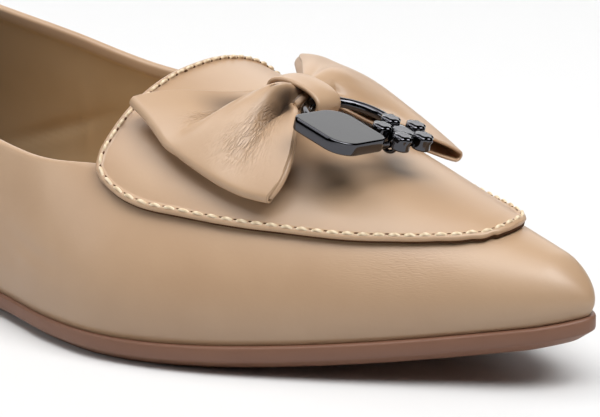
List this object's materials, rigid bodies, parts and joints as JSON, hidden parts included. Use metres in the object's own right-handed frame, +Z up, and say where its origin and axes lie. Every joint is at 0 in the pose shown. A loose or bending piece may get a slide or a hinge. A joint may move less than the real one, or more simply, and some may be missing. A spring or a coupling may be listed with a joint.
{
  "type": "pointed ballet flat",
  "caption": "Left pointed-toe leather ballet flat with a hollow lasted upper, stitched apron, leather bow and a metal ring of swinging charms, on a thin rubber sole with a low heel.",
  "frame": {"origin": "on the floor under the middle of the sole's length and width", "axes": "+X towards the toe, +Y towards the outer side of this left shoe, +Z up"},
  "size_m": [0.258, 0.0798, 0.058],
  "materials": {
    "sole_rubber": "satin moulded rubber",
    "lining_leather": "matt lining leather",
    "tan_leather": "smooth semi-gloss leather",
    "gunmetal": "dark polished plating"
  },
  "bodies": {
    "shoe": {"outsole": "sole_rubber", "insole": "lining_leather", "upper": "tan_leather", "apron": "tan_leather", "bow_loops": "tan_leather", "bow_knot": "tan_leather"},
    "ring": {"charm_ring": "gunmetal"},
    "tag": {"charm_tag": "gunmetal"},
    "flower": {"charm_flower": "gunmetal"}
  },
  "joints": [
    {"name": "ring_swing", "type": "hinge", "parent": "shoe", "child": "ring", "pos_m": [0.06936, -0.0018, 0.04528], "axis": [-0.1171, -0.9884, 0.0965], "range_deg": [-7, 45]},
    {"name": "tag_swing", "type": "hinge", "parent": "ring", "child": "tag", "pos_m": [0.08125, -0.01142, 0.04273], "axis": [-0.8955, -0.3587, 0.2637], "range_deg": [-15, 12]},
    {"name": "flower_swing", "type": "hinge", "parent": "ring", "child": "flower", "pos_m": [0.08668, -0.0035, 0.04075], "axis": [-0.0331, -0.9967, 0.0745], "range_deg": [-15, 12]}
  ]
}
